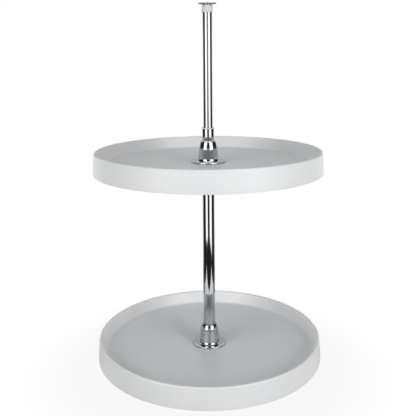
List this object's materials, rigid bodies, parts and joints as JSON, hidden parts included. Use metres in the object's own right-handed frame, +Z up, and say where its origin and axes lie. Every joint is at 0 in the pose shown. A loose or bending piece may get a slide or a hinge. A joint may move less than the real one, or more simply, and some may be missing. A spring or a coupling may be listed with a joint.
{
  "type": "rotating pantry shelf unit",
  "caption": "Full-round rotating tray unit for the inside of a tall or corner cabinet: rimmed trays that turn on a telescoping chrome post.",
  "frame": {"origin": "centre of the floor flange's underside, on the post axis", "axes": "+Z up along the post, +X to the right and +Y to the back as the picture shows the unit; the set screws face +Y"},
  "size_m": [0.457, 0.457, 0.74],
  "materials": {
    "tray_plastic": "satin moulded white polymer with a fine even texture",
    "chrome": "bright polished chrome plate",
    "white_nylon": "smooth moulded nylon",
    "dark_nylon": "smooth moulded acetal",
    "zinc_plate": "bright zinc plate",
    "bright_steel": "bright steel"
  },
  "bodies": {
    "post": {"floor_flange": "zinc_plate", "floor_flange_screw": "bright_steel", "outer_tube": "chrome", "tube_liner": "white_nylon", "height_lock_screw": "bright_steel"},
    "mast": {"inner_tube": "chrome", "inner_tube_guide": "white_nylon", "top_cap": "white_nylon", "top_plate": "chrome"},
    "upper_carrier": {"upper_lock_collar": "zinc_plate", "upper_collar_screw": "bright_steel", "upper_bearing_bottom_race": "bright_steel"},
    "upper_cage": {"upper_bearing_cage": "white_nylon", "upper_bearing_balls": "bright_steel"},
    "upper_shelf": {"upper_tray": "tray_plastic", "upper_hub": "chrome", "upper_hub_top_bush": "dark_nylon", "upper_hub_bottom_bush": "dark_nylon", "upper_backing_plate": "zinc_plate", "upper_hub_screws": "bright_steel", "upper_bearing_top_race": "bright_steel"},
    "lower_carrier": {"lower_lock_collar": "zinc_plate", "lower_collar_screw": "bright_steel", "lower_bearing_bottom_race": "bright_steel"},
    "lower_cage": {"lower_bearing_cage": "white_nylon", "lower_bearing_balls": "bright_steel"},
    "lower_shelf": {"lower_tray": "tray_plastic", "lower_hub": "chrome", "lower_hub_top_bush": "dark_nylon", "lower_hub_bottom_bush": "dark_nylon", "lower_backing_plate": "zinc_plate", "lower_hub_screws": "bright_steel", "lower_bearing_top_race": "bright_steel"}
  },
  "joints": [
    {"name": "mast_height", "type": "slide", "parent": "post", "child": "mast", "axis": [0, 0, 1], "range_m": [-0.08, 0.046]},
    {"name": "upper_shelf_height", "type": "slide", "parent": "post", "child": "upper_carrier", "axis": [0, 0, 1], "range_m": [-0.15, 0.01]},
    {"name": "upper_shelf_turn", "type": "hinge", "parent": "upper_carrier", "child": "upper_shelf", "pos_m": [0, 0, 0.428], "axis": [0, 0, 1], "continuous": true},
    {"name": "upper_cage_turn", "type": "hinge", "parent": "upper_carrier", "child": "upper_cage", "pos_m": [0, 0, 0.428], "axis": [0, 0, 1], "continuous": true},
    {"name": "lower_shelf_height", "type": "slide", "parent": "post", "child": "lower_carrier", "axis": [0, 0, 1], "range_m": [0, 0.1]},
    {"name": "lower_shelf_turn", "type": "hinge", "parent": "lower_carrier", "child": "lower_shelf", "pos_m": [0, 0, 0.046], "axis": [0, 0, 1], "continuous": true},
    {"name": "lower_cage_turn", "type": "hinge", "parent": "lower_carrier", "child": "lower_cage", "pos_m": [0, 0, 0.046], "axis": [0, 0, 1], "continuous": true}
  ],
  "couplings": [
    {"joint": "upper_cage_turn", "follows": "upper_shelf_turn", "ratio": 0.5},
    {"joint": "lower_cage_turn", "follows": "lower_shelf_turn", "ratio": 0.5}
  ]
}
